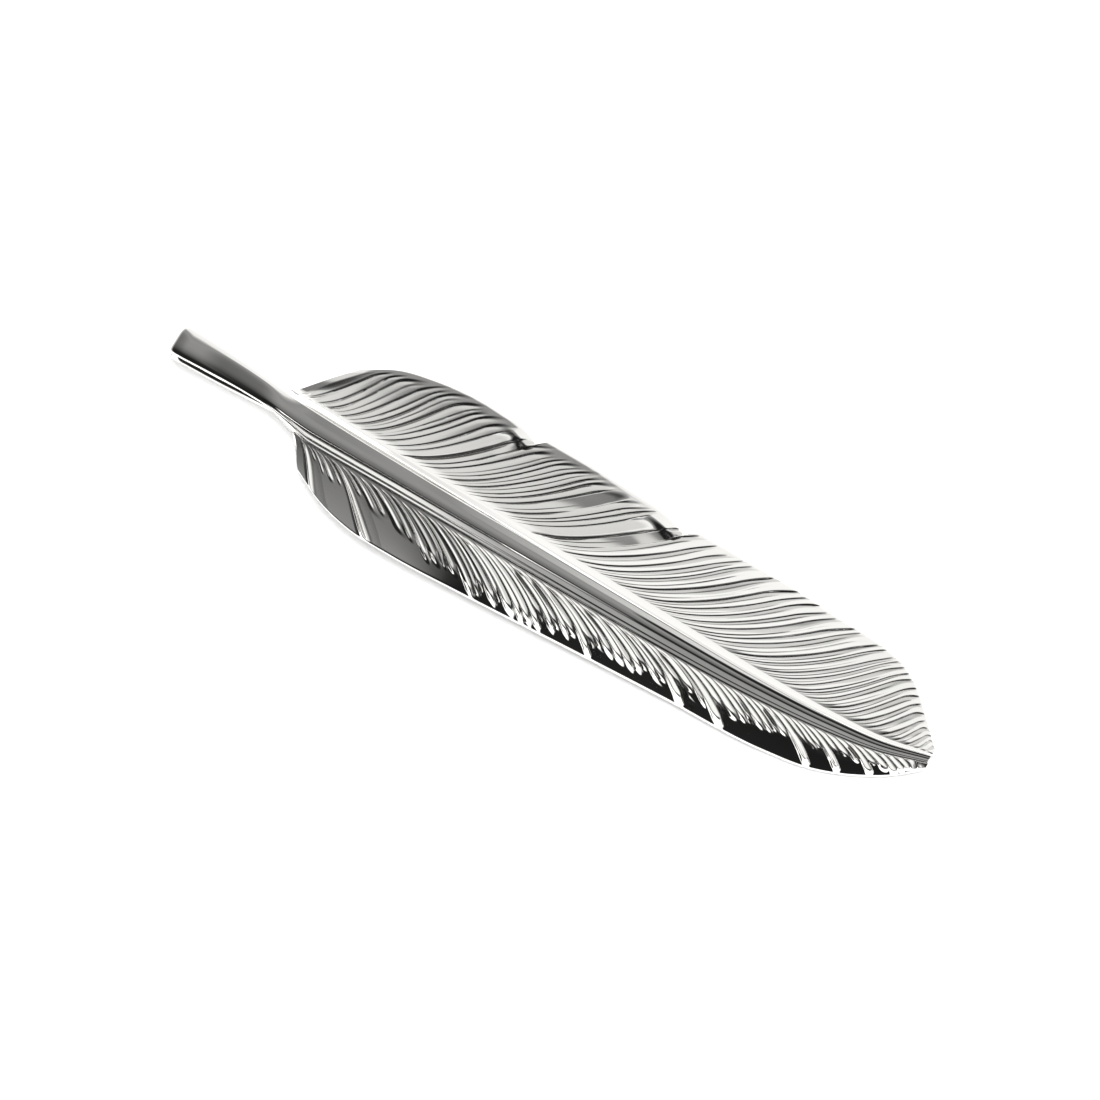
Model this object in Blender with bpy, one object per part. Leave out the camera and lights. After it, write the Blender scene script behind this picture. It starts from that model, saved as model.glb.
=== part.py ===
"""Cast silver feather pendant, one casting: two barbed vanes on a raised shaft, and a quill bent back as the bail.

+X runs from the quill's bend to the feather's tip, +Y to the wide vane with its two splits, +Z up.
The origin is the bottom centre of the part's box, and the pendant lies on its back.
"""

import math

import bmesh
import bpy
import numpy as np

MM = 0.001

# Lengthwise landmarks in mm along the feather, which is about 80 mm long from the bail's bend to the tip
VANE_START = -27.6
SHAFT_END = 39.3
BAIL_STRAIGHT_END = -37.75

# The casting's thicknesses and heights, in mm
RIM_THICKNESS = 1.0
NEAR_RIM_THICKNESS = 0.75
EDGE_WALL = 0.6
SHAFT_EXTRA = 0.25
STRIP_THICKNESS = 1.1
BAIL_DEPTH = 4.0
RETURN_THICKNESS = 0.9
RETURN_WIDTH = 2.5

# Barbs: raised ridges on each vane, each made of four columns of the mesh. Their height fades in from the shaft
# over GROWS and out before the rim over SINKS, both as shares of the barb's length
BARBS = 36
COLUMNS_PER_BARB = 4
COLUMNS = BARBS * COLUMNS_PER_BARB
FAR_BARB_HEIGHT = 0.16
NEAR_BARB_HEIGHT = 0.24
RIDGE = (0.0, 0.75, 1.0, 0.55)
GROWS = (0.05, 0.3)
SINKS = (0.86, 0.97)

# The near vane's barbs also lie on one another as a layer, which is level at the shaft, drops by LAYER_DROP towards
# the edge, and ends LAYER_STEP of the barb's length before the barb does
LAYER_DROP = 0.35
LAYER_STEP = 0.14

# Splits in the far vane: the column that each follows out to the edge, and the share of the barb that it takes off.
# Beside each the edge stands up in a band that slopes outwards, with a hollow inside it
SPLIT_COLUMNS = (25, 56)
SPLIT_SHARE = 0.08
CURL_COLUMNS = 6
FOLD_RISE = 0.42
FOLD_HOLLOW = 0.25

# Hand-set lines, as (x, value) in mm. NEAR_FOOT_SHARE is how many times as wide as FOOT_WIDTH the near foot is
SHAFT_LINE = ((-39.5, -0.65), (-32, -0.75), (-26, -1.15), (-14, -1.5), (0, -1.75), (12, -1.9), (23, -1.85),
              (30, -1.45), (35, -0.85), (39.3, 0.25))
FACE_WIDTH = ((-30, 2.1), (-20, 1.7), (0, 1.35), (16, 1.0), (28, 0.6), (38.5, 0.3))
FAR_EDGE = ((-23.4, 5.5), (-20.3, 7.3), (-16.7, 8.2), (-12.6, 8.6), (-8, 8.4), (0, 8.3), (8, 7.9), (16, 7.8),
            (21, 7.75), (26, 7.45), (31, 7.15), (33.2, 6.6), (35.4, 5.2), (37.4, 3.2), (39.5, 1.0))
NEAR_EDGE = ((-23.2, -5.6), (-20, -7.15), (-16.5, -8.05), (-12, -8.25), (-5, -8.0), (5, -7.5), (16, -7.0),
             (26, -6.6), (30.5, -5.85), (34.5, -4.25), (37.2, -2.65), (39.5, -0.7))
FAR_REACH = ((VANE_START, 4.2), (-25, 6.6), (-20, 9.6), (-10, 12), (5, 12.5), (20, 11.4), (24, 9.3), (28, 7.0),
             (32, 4.7), (36, 2.1), (SHAFT_END, 0.1))
NEAR_REACH = ((VANE_START, 4.4), (-22, 7.4), (-12, 8.6), (0, 7.8), (10, 7.3), (20, 6.2), (26, 5.2), (31, 3.8),
              (35, 2.4), (SHAFT_END, 0.1))
FOOT_WIDTH = ((-28, 0.55), (28, 0.5), (SHAFT_END, 0.25))
NEAR_START = ((VANE_START, 2.1), (-24, 0.6), (-20, 0.0), (-15, 0.0))
NEAR_FOOT_SHARE = ((-28, 0.6), (-26, 1.0), (-23.5, 1.6), (39, 1.6))
VANE_RISE = ((-28, 2.05), (0, 1.95), (20, 1.88), (39.3, 1.27))
NEAR_RISE = ((-28, 1.75), (-12, 1.85), (-4, 2.1), (4, 2.15), (20, 2.05), (39.3, 1.37))
NEAR_RIM = ((-28, 1.6), (-12, 1.5), (-6, 1.15), (0, 0.85), (6, 0.75), (39, 0.75))
LIFT = ((-40, 0.7), (-28, 0.8), (-10, 1.0), (8, 0.85), (24, 0.3), (33, 0.0), (39.3, 0.12))
SHAFT_RISE = ((-28, 0.8), (0, 0.65), (24, 0.45), (SHAFT_END, 0.3))

# How each vane falls from the shaft to its rim, as the power of the fall along the vane, where the near vane turns
# from flat to domed, where the shaft's far edge becomes a lip, and the share of their length where near barbs end
FAR_FALL = ((-27, 3.0), (-6, 2.7), (2, 1.3), (8, 1.0), (39, 1.0))
NEAR_FALL = ((-27, 1.9), (0, 1.9), (39, 1.7))
NEAR_DOMED = (-12.0, -2.0)
SHAFT_LIPPED = (-8.0, 4.0)
NEAR_BARB_ENDS = ((-15, 0.7), (-10, 0.85), (6, 0.8), (14, 0.78), (19, 0.7), (30, 0.66), (34, 0.85), (39, 1.0))

# Barb directions from the shaft, in degrees: as they leave it, and as they reach the edge. Each pulls on the barb's
# curve over a share of its span
FAR_ANGLES = (9, 48)
NEAR_ANGLES = (10, 34)
LEAVING_PULL = 0.3
ARRIVING_PULL = 0.33

# Shares of a barb's length where the mesh has rows: on the far vane's top, the near vane's top, and the back
FAR_SHARES = (1, 0.94, 0.84, 0.68, 0.5, 0.32, 0.16, 0)
NEAR_SHARES = (0, 0.2, 0.42, 0.64, 0.82, 0.94, 1)
UNDER_SHARES = (1, 0.94, 0.45, 0.0)

# Points round the quill's section, and steps round its bend
RING_POINTS = 16
BEND_STEPS = 10

# The quill's top as (x, height, width), and the return strip's run as (x, underside, width)
QUILL_TOP = ((-23.5, 3.2, 0.9), (-26, 3.6, 1.6), (-28.5, 3.85, 2.1), (-31, 3.95, 2.3), (-34, 4.0, 2.6),
             (BAIL_STRAIGHT_END, 4.0, 2.9))
RETURN_RUN = ((BAIL_STRAIGHT_END, 0.0, RETURN_WIDTH), (-35, 0.0, 2.4), (-33.3, 0.12, 2.3), (-31, 0.55, 2.1),
              (-28.5, 1.15, 1.8), (-25.5, 1.9, 1.3))


def through(points, x):
    """A smooth line through hand-set points, read at x, as a thin batten would lie."""
    xs, ys = np.array(points, float).T
    slopes = np.gradient(ys, xs)
    x = np.clip(x, xs[0], xs[-1])
    i = np.clip(np.searchsorted(xs, x) - 1, 0, len(xs) - 2)
    span = xs[i + 1] - xs[i]
    t = (x - xs[i]) / span
    start = (1 + 2 * t) * (1 - t) ** 2 * ys[i] + t * (1 - t) ** 2 * span * slopes[i]
    end = t * t * (3 - 2 * t) * ys[i + 1] + t * t * (t - 1) * span * slopes[i + 1]
    return start + end


def ramp(value, low, high):
    """0 below low, 1 above high, and smooth between."""
    t = np.clip((value - low) / (high - low), 0, 1)
    return t * t * (3 - 2 * t)


def curl_share(column):
    """0 along the plain edge, rising to 1 over the last columns before a split, where the vane's edge curls in."""
    shares = [1 - (split - column) / CURL_COLUMNS for split in SPLIT_COLUMNS if column <= split]
    return max([0.0] + shares) ** 1.6


def root_of(column):
    """Where a column's barbs leave the shaft, in mm along the feather."""
    return VANE_START + (SHAFT_END - VANE_START) * column / COLUMNS


def foot_width(side, x):
    """How far out from the edge of the shaft's face the vane begins."""
    return through(FOOT_WIDTH, x) * (1 if side > 0 else through(NEAR_FOOT_SHARE, x))


def barb_point(side, column, v):
    """The point in plan at share v of a column's barb. side is 1 for the far vane, -1 for the near one."""
    root_x = root_of(column)
    edge_x = root_x + through(FAR_REACH if side > 0 else NEAR_REACH, root_x)
    edge_y = through(FAR_EDGE if side > 0 else NEAR_EDGE, edge_x)
    if side > 0:
        v = v * (1 - SPLIT_SHARE * curl_share(column))
    else:
        root_x = root_x + through(NEAR_START, root_x)
    half_face = through(FACE_WIDTH, root_x) / 2
    root_y = through(SHAFT_LINE, root_x) + side * (half_face + foot_width(side, root_x))
    leaving, arriving = (math.radians(a) for a in (FAR_ANGLES if side > 0 else NEAR_ANGLES))
    leaving = arriving + (leaving - arriving) * ramp(root_x, VANE_START, VANE_START + 3.6)
    span = math.hypot(edge_x - root_x, edge_y - root_y)
    x1 = root_x + LEAVING_PULL * span * math.cos(leaving)
    y1 = root_y + side * LEAVING_PULL * span * math.sin(leaving)
    x2 = edge_x - ARRIVING_PULL * span * math.cos(arriving)
    y2 = edge_y - side * ARRIVING_PULL * span * math.sin(arriving)
    a, b, c, d = (1 - v) ** 3, 3 * v * (1 - v) ** 2, 3 * v * v * (1 - v), v ** 3
    return a * root_x + b * x1 + c * x2 + d * edge_x, a * root_y + b * y1 + c * y2 + d * edge_y


def rim_thickness(side):
    return RIM_THICKNESS if side > 0 else NEAR_RIM_THICKNESS


def share_across(side, x, y):
    """0 at the shaft's foot and 1 at the vane's edge, straight across the feather."""
    foot = through(SHAFT_LINE, x) + side * (through(FACE_WIDTH, x) / 2 + foot_width(side, x))
    edge = through(FAR_EDGE if side > 0 else NEAR_EDGE, x)
    width = max(side * (edge - foot), 0.1)
    return float(np.clip(side * (y - foot) / width, 0, 1))


def vane_height(side, x, y):
    """Top of a vane without its barbs. The far one sweeps down to a level rim. The near one is all but flat towards
    the bail, and domes down towards the tip."""
    across = share_across(side, x, y)
    if side > 0:
        rise = through(VANE_RISE, x)
        return through(LIFT, x) + RIM_THICKNESS + (rise - RIM_THICKNESS) * (1 - across) ** through(FAR_FALL, x)
    rise, rim = through(NEAR_RISE, x), through(NEAR_RIM, x)
    domed = ramp(x, *NEAR_DOMED)
    fallen = (1 - domed) * (1 - (1 - across) ** 1.8) + domed * across ** through(NEAR_FALL, x)
    return through(LIFT, x) + rise + (rim - rise) * fallen


def layer_height(column, x, y, v):
    """How far the near vane's layer of barbs stands above the vane under it."""
    top = through(LIFT, x) + through(NEAR_RISE, x) - LAYER_DROP * share_across(-1, x, y) ** 1.3
    end = through(NEAR_BARB_ENDS, root_of(column))
    left = 1 - ramp(v, end - LAYER_STEP, end)
    return max(top - vane_height(-1, x, y), 0) * ramp(x, *NEAR_DOMED) * left


def fold_height(column, v):
    """The curl beside a split: a band that slopes outwards, with a hollow inside it."""
    band = ramp(v, 0.88, 0.925) * (1 - 0.85 * ramp(v, 0.915, 1.0))
    hollow = ramp(v, 0.7, 0.86) * (1 - ramp(v, 0.87, 0.92))
    return curl_share(column) * (FOLD_RISE * band - FOLD_HOLLOW * hollow)


def barb_height(side, column, v):
    """How far a barb stands up there. It grows out of the shaft's foot and sinks into the rim."""
    root_x = root_of(column)
    height = FAR_BARB_HEIGHT if side > 0 else NEAR_BARB_HEIGHT
    along = ramp(v, *GROWS) * (1 - 0.85 * ramp(v, *SINKS))
    from_base = ramp(root_x, VANE_START + 0.3, VANE_START + 3)
    from_tip = 1 - 0.65 * ramp(root_x, SHAFT_END - 7, SHAFT_END - 0.5)
    return height * along * from_base * from_tip * RIDGE[column % COLUMNS_PER_BARB]


def fillet_height(x, y):
    """How far the fillet on the shaft's far side stands above the vane there."""
    out = y - through(SHAFT_LINE, x) - through(FACE_WIDTH, x) / 2
    share = np.clip(out / (2 * through(FOOT_WIDTH, x)), 0, 1)
    return float(0.95 * through(SHAFT_RISE, x) * (1 - share) ** 2.2)


def shaft_top(root_x):
    """Points over the shaft from its far fillet to its near foot: the face, and two steps down on the near side."""
    y = through(SHAFT_LINE, root_x)
    half = through(FACE_WIDTH, root_x) / 2
    foot = through(LIFT, root_x) + through(VANE_RISE, root_x)
    rise = through(SHAFT_RISE, root_x)
    slope = through(FOOT_WIDTH, root_x)
    near = foot_width(-1, root_x)
    lip = ramp(root_x, *SHAFT_LIPPED)
    profile = ((half + 0.35 * slope, 0.62), (half, 0.95), (0.0, 1.0 - 0.16 * lip), (-half, 0.95 - 0.2 * lip),
               (-half - 0.1 * near, 0.67), (-half - 0.47 * near, 0.69), (-half - 0.56 * near, 0.51),
               (-half - 0.86 * near, 0.53))
    return [(root_x, y + across, foot + rise * up) for across, up in profile]


def wing_row(side, column, shares, under):
    """One barb's points at the given shares, on the vane's top or, with under, on its back."""
    row = []
    for v in shares:
        x, y = barb_point(side, column, v)
        z = vane_height(side, x, y)
        if under:
            z -= rim_thickness(side) * (EDGE_WALL if v == 1 else 1.0) + SHAFT_EXTRA * (1 - v)
        else:
            z += barb_height(side, column, v)
            if side > 0:
                z += fold_height(column, v) + fillet_height(x, y)
            else:
                z += layer_height(column, x, y, v)
        row.append((x, y, z))
    return row


def section(column):
    """The top row and the under row of the blade, far edge to near edge, along one barb of each vane."""
    top = wing_row(1, column, FAR_SHARES, False)
    top += shaft_top(root_of(column))
    top += wing_row(-1, column, NEAR_SHARES, False)
    under = wing_row(1, column, UNDER_SHARES, True)
    under += wing_row(-1, column, UNDER_SHARES[::-1], True)
    return top, under


def add_row(bm, points):
    """Mesh points, in metres, for points in mm."""
    return [bm.verts.new([c * MM for c in p]) for p in points]


def join_rings(bm, ring, following):
    """Faces all round between two closed loops of the same count."""
    for i in range(len(ring)):
        n = (i + 1) % len(ring)
        bm.faces.new((ring[i], ring[n], following[n], following[i]))


def close_end(bm, top, under):
    """Walls off an open end between its top row and its under row, which have different counts of points."""
    i = j = 0
    while i < len(top) - 1 or j < len(under) - 1:
        step_top = (i + 1) / (len(top) - 1)
        step_under = (j + 1) / (len(under) - 1)
        if j == len(under) - 1 or (i < len(top) - 1 and step_top <= step_under):
            bm.faces.new((top[i], top[i + 1], under[j]))
            i += 1
        else:
            bm.faces.new((top[i], under[j + 1], under[j]))
            j += 1


def make_object(name, bm):
    bmesh.ops.recalc_face_normals(bm, faces=bm.faces)
    mesh = bpy.data.meshes.new(name)
    bm.to_mesh(mesh)
    bm.free()
    made = bpy.data.objects.new(name, mesh)
    bpy.context.scene.collection.objects.link(made)
    return made


def make_blade():
    """Both vanes and the shaft, lofted through one section for each column of the barbs."""
    bm = bmesh.new()
    rows = []
    for column in range(COLUMNS + 1):
        top, under = section(column)
        rows.append((add_row(bm, top), add_row(bm, under)))
    rings = [top + under[::-1] for top, under in rows]
    for ring, following in zip(rings, rings[1:]):
        join_rings(bm, ring, following)
    close_end(bm, *rows[0])
    close_end(bm, *rows[-1])
    return make_object("feather_pendant", bm)


def quill_path():
    """Stations down the quill, round the bend and back under it: point, slope in X and Z, width, thickness."""
    bend = (BAIL_DEPTH - STRIP_THICKNESS / 2 - RETURN_THICKNESS / 2) / 2
    crown = BAIL_DEPTH - STRIP_THICKNESS / 2
    stations = []
    for x, z, width in QUILL_TOP:
        stations.append((x, z - STRIP_THICKNESS / 2, (-1.0, 0.0), width, STRIP_THICKNESS))
    for step in range(1, BEND_STEPS):
        angle = math.pi * step / BEND_STEPS
        x = BAIL_STRAIGHT_END - bend * math.sin(angle)
        z = crown - bend + bend * math.cos(angle)
        share = step / BEND_STEPS
        width = QUILL_TOP[-1][2] + (RETURN_WIDTH - QUILL_TOP[-1][2]) * share ** 2
        thickness = STRIP_THICKNESS + (RETURN_THICKNESS - STRIP_THICKNESS) * share
        stations.append((x, z, (-math.cos(angle), -math.sin(angle)), width, thickness))
    for x, bottom, width in RETURN_RUN:
        stations.append((x, bottom + RETURN_THICKNESS / 2, (1.0, 0.0), width, RETURN_THICKNESS))
    return stations


def strip_ring(x, z, direction, width, thickness):
    """A rounded flat section of the quill, square to its path."""
    normal_x, normal_z = -direction[1], direction[0]
    ring = []
    for i in range(RING_POINTS):
        angle = math.tau * (i + 0.5) / RING_POINTS
        across = math.copysign(abs(math.cos(angle)) ** 0.6, math.cos(angle)) * width / 2
        up = math.copysign(abs(math.sin(angle)) ** 0.7, math.sin(angle)) * thickness / 2
        ring.append((x + normal_x * up, through(SHAFT_LINE, x) + across, z + normal_z * up))
    return ring


def make_quill():
    """The quill and its bail: one flat-oval strip, bent back and run up against the blade's underside."""
    bm = bmesh.new()
    rings = [add_row(bm, strip_ring(*station)) for station in quill_path()]
    for ring, following in zip(rings, rings[1:]):
        join_rings(bm, ring, following)
    bm.faces.new(rings[0])
    bm.faces.new(rings[-1])
    return make_object("quill", bm)


def make_silver():
    """Polished cast silver: bright, with just enough roughness for hand polishing."""
    silver = bpy.data.materials.new("polished_silver")
    silver.use_nodes = True
    shader = silver.node_tree.nodes["Principled BSDF"]
    shader.inputs["Base Color"].default_value = (0.87, 0.86, 0.84, 1)
    shader.inputs["Metallic"].default_value = 1.0
    shader.inputs["Roughness"].default_value = 0.18
    return silver


def set_on_origin(made):
    """Moves the mesh so that the bottom centre of its box is the origin."""
    points = np.array([v.co for v in made.data.vertices])
    low, high = points.min(axis=0), points.max(axis=0)
    shift = np.array(((low[0] + high[0]) / 2, (low[1] + high[1]) / 2, low[2]))
    for vertex in made.data.vertices:
        vertex.co = [a - b for a, b in zip(vertex.co, shift)]


def main():
    for existing in list(bpy.data.objects):
        bpy.data.objects.remove(existing)
    blade = make_blade()
    quill = make_quill()
    join = blade.modifiers.new("join_quill", "BOOLEAN")
    join.operation = "UNION"
    join.object = quill
    bpy.context.view_layer.objects.active = blade
    bpy.ops.object.modifier_apply(modifier=join.name)
    bpy.data.objects.remove(quill)
    set_on_origin(blade)
    blade.data.materials.clear()
    blade.data.materials.append(make_silver())
    blade.data.shade_smooth()
    blade.data.set_sharp_from_angle(angle=math.radians(35))


main()
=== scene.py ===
"""Looks of the cast silver feather pendant: barbed vanes, raised shaft and bail in polished silver.

Everything is modelled in the feather's own millimetres: +X runs from the bail to the tip, +Y to the wide far
vane, +Z up. place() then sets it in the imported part's frame. A pale floor lies under it.
"""

import math

import bpy
import numpy as np
from mathutils import Matrix, Vector


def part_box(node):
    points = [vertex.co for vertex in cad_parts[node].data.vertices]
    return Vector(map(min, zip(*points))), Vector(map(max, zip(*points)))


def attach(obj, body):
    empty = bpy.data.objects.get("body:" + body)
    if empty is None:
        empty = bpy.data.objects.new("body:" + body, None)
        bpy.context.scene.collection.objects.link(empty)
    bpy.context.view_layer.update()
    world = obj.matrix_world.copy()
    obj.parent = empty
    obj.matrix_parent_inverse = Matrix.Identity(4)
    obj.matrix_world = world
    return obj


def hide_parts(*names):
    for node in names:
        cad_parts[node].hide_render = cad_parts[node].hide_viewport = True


bl_info = {
    "name": "Silver feather pendant",
    "version": (1, 0, 0),
    "blender": (4, 5, 0),
    "location": "View3D > Sidebar > Feather",
    "description": "Models a cast silver feather pendant and its studio stage",
    "category": "Object",
}

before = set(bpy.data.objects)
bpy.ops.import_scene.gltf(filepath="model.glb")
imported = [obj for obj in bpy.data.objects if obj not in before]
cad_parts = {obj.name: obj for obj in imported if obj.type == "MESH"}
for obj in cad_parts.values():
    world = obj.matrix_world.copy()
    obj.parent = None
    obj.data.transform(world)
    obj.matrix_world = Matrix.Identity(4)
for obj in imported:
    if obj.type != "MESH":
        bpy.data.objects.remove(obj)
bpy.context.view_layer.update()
PART_LOW, PART_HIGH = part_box("feather_pendant")
MM = 0.001

# The design's own coordinates, in mm, of three faces of the part's box: they place the design in the frame
BEND_OUTSIDE = -39.743
WIDEST_FAR = 8.607
BAIL_UNDERSIDE = 0.006

# Lengthwise landmarks, in mm along the feather
VANE_START = -27.6
SHAFT_END = 39.3
BAIL_STRAIGHT_END = -37.75
RETURN_END = -25.5

# Thicknesses of the casting, in mm. A vane's wall thins to EDGE_WALL of the rim's thickness at its very edge,
# and thickens by SHAFT_EXTRA at the shaft
RIM_THICKNESS = {"far": 1.0, "near": 0.75}
EDGE_WALL = 0.6
SHAFT_EXTRA = 0.25
STRIP_THICKNESS = 1.1
RETURN_THICKNESS = 0.9

# The bail, in mm: its depth over both strips, how far it stays clear of the floor, and its widths at the bend
BAIL_DEPTH = 3.97
BAIL_LOW = 0.015
RETURN_WIDTH = 2.5
QUILL_END_WIDTH = 2.9

# Lines of the feather in plan, as (x, value) in mm. REACH is how far a barb runs on towards the tip
SIGN = {"far": 1, "near": -1}
SHAFT_LINE = ((-39.5, -0.65), (-32, -0.75), (-26, -1.15), (-14, -1.5), (0, -1.75), (12, -1.9), (23, -1.85),
              (30, -1.45), (35, -0.85), (39.3, 0.25))
FACE_WIDTH = ((-30, 2.1), (-20, 1.7), (0, 1.35), (16, 1.0), (28, 0.6), (38.5, 0.3))
EDGE_LINE = {
    "far": ((-23.4, 5.5), (-20.3, 7.3), (-16.7, 8.2), (-12.6, 8.6), (-8, 8.4), (0, 8.3), (8, 7.9),
            (16, 7.8), (21, 7.75), (26, 7.45), (31, 7.15), (33.2, 6.6), (35.4, 5.2), (37.4, 3.2),
            (39.5, 1.0)),
    "near": ((-23.2, -5.6), (-20, -7.15), (-16.5, -8.05), (-12, -8.25), (-5, -8.0), (5, -7.5), (16, -7.0),
             (26, -6.6), (30.5, -5.85), (34.5, -4.25), (37.2, -2.65), (39.5, -0.7)),
}
REACH = {
    "far": ((VANE_START, 4.2), (-25, 6.6), (-20, 9.6), (-10, 12), (5, 12.5), (20, 11.4), (24, 9.3),
            (28, 7.0), (32, 4.7), (36, 2.1), (SHAFT_END, 0.1)),
    "near": ((VANE_START, 4.4), (-22, 7.0), (-12, 8.0), (0, 7.4), (10, 7.0), (20, 6.1), (26, 5.2),
             (31, 3.8), (35, 2.4), (SHAFT_END, 0.1)),
}

# The foot between the shaft's face and each vane: its width in mm, the near one's width as a share of that,
# and how much further on the near barbs begin
FOOT_WIDTH = ((-28, 0.55), (28, 0.5), (SHAFT_END, 0.25))
NEAR_FOOT_SHARE = ((-28, 0.6), (-26, 1.0), (-24, 1.5), (-22, 1.6), (-20, 1.6), (39, 1.6))
NEAR_START = ((VANE_START, 2.1), (-24, 0.6), (-20, 0.0), (-15, 0.0))

# Heights as (x, mm): the whole feather's lift off the floor, each vane's top at the shaft over that lift, and
# the shaft's face over the far vane's top
LIFT = ((-40, 0.7), (-28, 0.8), (-10, 1.0), (8, 0.85), (24, 0.3), (33, 0.0), (39.3, 0.12))
VANE_RISE = ((-28, 2.05), (0, 1.95), (20, 1.88), (39.3, 1.27))
NEAR_RISE = ((-28, 1.75), (-12, 1.85), (-4, 2.1), (4, 2.15), (20, 2.05), (39.3, 1.37))
SHAFT_RISE = ((-28, 0.8), (0, 0.65), (24, 0.45), (SHAFT_END, 0.3))

# How each vane falls from the shaft to its rim: the power of the fall, where the near one turns from flat to
# domed, and the top of the near rim over the lift
FAR_FALL = ((-27, 3.0), (-6, 2.7), (2, 1.3), (8, 1.0), (39, 1.0))
NEAR_FALL = ((-27, 1.9), (0, 1.9), (39, 1.7))
NEAR_DOMED = (-12.0, -2.0)
NEAR_RIM = ((-28, 1.6), (-12, 1.5), (-6, 1.15), (0, 0.85), (6, 0.75), (39, 0.75))

# The near barbs lie on one another as a layer: its drop towards the edge in mm, and where along it comes in
LAYER_DROP = 0.2
LAYER_BEGINS = (-16, -9)

# The far vane's smooth, all but level strip along its front edge: how far its top stands over the rim's, and
# how far from the vane's start it turns into the vane, in mm
FRONT_LEVEL = 0.4
FRONT_WIDTH = (0.5, 1.1)

# Barb directions in degrees, as they leave the shaft and as they reach the edge. Each pulls on the barb's
# curve over a share of its span. The very first barbs leave as they arrive, which fades out over FAN mm
LEAVING = {"far": 9, "near": 12}
ARRIVING = {"far": 48, "near": 42}
LEAVING_PULL = 0.3
ARRIVING_PULL = 0.33
FAN = 3.6

# Splits of the far vane: where the barbs beside them leave the shaft, over how many mm the edge curls in, the
# share of the barb's length that it takes off, and the heights of the fold and of the hollow inside it in mm
SPLITS = (-15.985, -1.583)
CURL_LENGTHS = (2.79, 4.6)
SPLIT_SHARE = 0.08
FOLD_RISE = 0.42
FOLD_HOLLOW = 0.25

# Deep gaps between the lobes of the far vane, and between the bold barbs of the near one, by where they leave
# the shaft, in mm along it
GAPS = {
    "far": (-27.6, -26.4, -25.6, -25.05, -23.9, -23.2, -22.7, -21.6, -20.5, -19.95, -19.0, -18.25, -17.05,
            -15.985, -15.3, -13.9, -13.3, -12.1, -10.9, -10.3, -9.3, -7.6, -6.6, -6.1, -5.3, -3.2, -1.583,
            0.2, 1.85, 2.9, 4.05, 6.1, 8.2, 9.3, 10.4, 11.6, 12.7, 14.4, 15.3, 17.8, 18.9, 20.8, 22.0, 23.3,
            24.9, 26.0, 27.9, 29.1, 30.6, 32.0, 33.6, 35.0, 36.3, 37.4, 38.3, SHAFT_END),
    "near": (-27.6, -26.75, -24.6, -22.2, -20.1, -17.9, -15.8, -13.7, -11.95, -10.2, -8.6, -6.65, -4.8,
             -3.0, -1.2, 0.6, 2.6, 4.4, 6.4, 8.4, 10.2, 12.3, 14.45, 15.7, 17.0, 18.3, 19.3, 20.3, 21.3,
             22.2, 23.1, 24.15, 25.2, 26.1, 26.9, 27.65, 28.6, 29.6, 30.6, 31.5, 32.4, 33.3, 34.35, 35.3,
             36.2, 37.1, 38.1, SHAFT_END),
}
# Smooth petals of the far vane: the gap each begins at, and the share of the barb's length where it ends
PETALS = ((-18.25, 0.9), (-5.3, 0.88))
# Smooth recesses of the far vane: the gap each begins at, and the shares between which it is sunk
RECESSES = ((-9.3, 0.45, 0.95), (-3.2, 0.35, 0.9))
# Bold barbs of the near vane, by the gap that each begins at. Over BOLD_WIDTH of their width they run out
# over the rim, to the share PAST_RIM of their length
BOLD = (-26.75, -22.2, -11.95, -6.65, 0.6, 10.2, 14.45, 24.15, 27.65, 31.5, 34.35)
BOLD_WIDTH = 0.6
PAST_RIM = 1.05

# The share of the barb's length at which the barbs sink into the vane, as (x, share), and how much it wanders
ENDS = {
    "far": ((-27, 0.95), (-16, 0.97), (-6, 0.98), (-2, 1.02), (39, 1.02)),
    "near": ((-27, 0.42), (-21, 0.5), (-17, 0.68), (-14, 0.84), (-10, 0.9), (6, 0.83), (14, 0.78),
             (19, 0.7), (30, 0.66), (34, 0.85), (39, 1.0)),
}
ENDS_WANDER = {"far": 0.04, "near": 0.08}

# Section of one lobe or fine barb from gap to gap, as (share across, height share). Those of the far vane
# fall steeply on the tip side, those of the near one on the bail side. PLATEAU is of the far vane's two
# sections towards the bail, LOBE of its third and of the near vane. DIP wears some lobes of the third hollow
PLATEAU = ((0.0, 0.0), (0.05, 0.02), (0.4, 0.68), (0.6, 0.9), (0.8, 1.0), (0.9, 0.97), (0.96, 0.7),
           (1.0, 0.0))
LOBE = ((0.0, 0.0), (0.2, 0.02), (0.45, 0.32), (0.75, 0.86), (0.88, 1.0), (0.95, 0.8), (1.0, 0.0))
DIP = ((0.0, 0.0), (0.2, 0.75), (0.34, 1.0), (0.5, 0.4), (0.6, 0.0), (1.0, 0.0))
PETAL = ((0.0, 0.0), (0.07, 0.6), (0.15, 0.75), (0.5, 1.05), (0.85, 1.35), (0.93, 1.2), (1.0, 0.0))
FINE = ((0.0, 0.0), (0.15, 0.05), (0.5, 0.7), (0.75, 1.0), (0.9, 0.8), (1.0, 0.0))
NEAR_FINE = ((0.0, 0.0), (0.05, 0.05), (0.45, 0.6), (0.8, 1.0), (0.92, 0.85), (1.0, 0.0))
# The fine barbs of the far vane's two sections towards the bail, and the needle-thin ones of the near vane
# there, which turn into full barbs over NEAR_FULL
CRISP = ((0.0, 0.0), (0.06, 0.1), (0.45, 0.8), (0.7, 1.0), (0.9, 1.0), (0.96, 0.75), (1.0, 0.0))
NEEDLE = ((0.0, 0.0), (0.3, 0.0), (0.45, 0.35), (0.6, 0.95), (0.66, 1.0), (0.75, 0.3), (0.82, 0.0),
          (1.0, 0.0))
NEAR_FULL = (-13, -6)
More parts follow.
